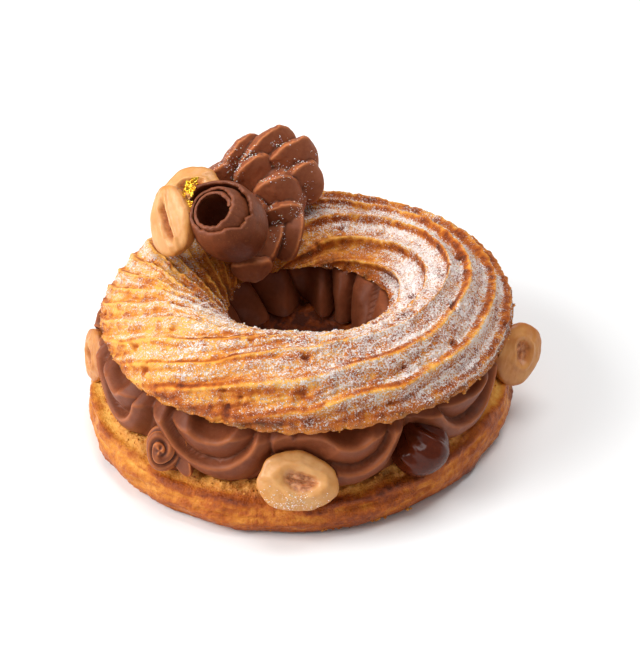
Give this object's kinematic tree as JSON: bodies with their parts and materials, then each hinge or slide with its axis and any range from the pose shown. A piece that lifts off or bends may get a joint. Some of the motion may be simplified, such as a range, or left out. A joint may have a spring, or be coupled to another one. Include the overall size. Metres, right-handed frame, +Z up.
{
  "type": "paris brest pastry",
  "caption": "Ring of choux pastry split into a base and a fluted lid, filled with piped praline cream and topped with a rosette, a chocolate curl and hazelnut halves.",
  "frame": {"origin": "middle of the whole pastry's box in X and Y, on its flat underside", "axes": "+Z up out of the lid; -Y towards the front hazelnut; the rosette lies at the back left"},
  "size_m": [0.094, 0.091, 0.0496],
  "materials": {
    "choux_base": "baked choux crust, golden brown, satin",
    "choux_lid": "baked choux crust dusted with icing sugar, matt",
    "praline_cream": "whipped praline and chocolate cream, soft satin",
    "praline_glaze": "wet dark praline, glossy",
    "milk_chocolate": "shaved milk chocolate, matt",
    "hazelnut": "roasted and cut hazelnut kernel, smooth"
  },
  "bodies": {
    "root": {"base_ring": "choux_base", "lid_ring": "choux_lid", "cream_ring": "praline_cream", "cream_rosette": "praline_cream", "cream_bud": "praline_cream", "praline_drop": "praline_glaze", "chocolate_curl": "milk_chocolate", "hazelnut_front": "hazelnut", "hazelnut_right": "hazelnut", "hazelnut_left": "hazelnut", "hazelnut_top": "hazelnut", "hazelnut_back": "hazelnut"}
  },
  "joints": []
}
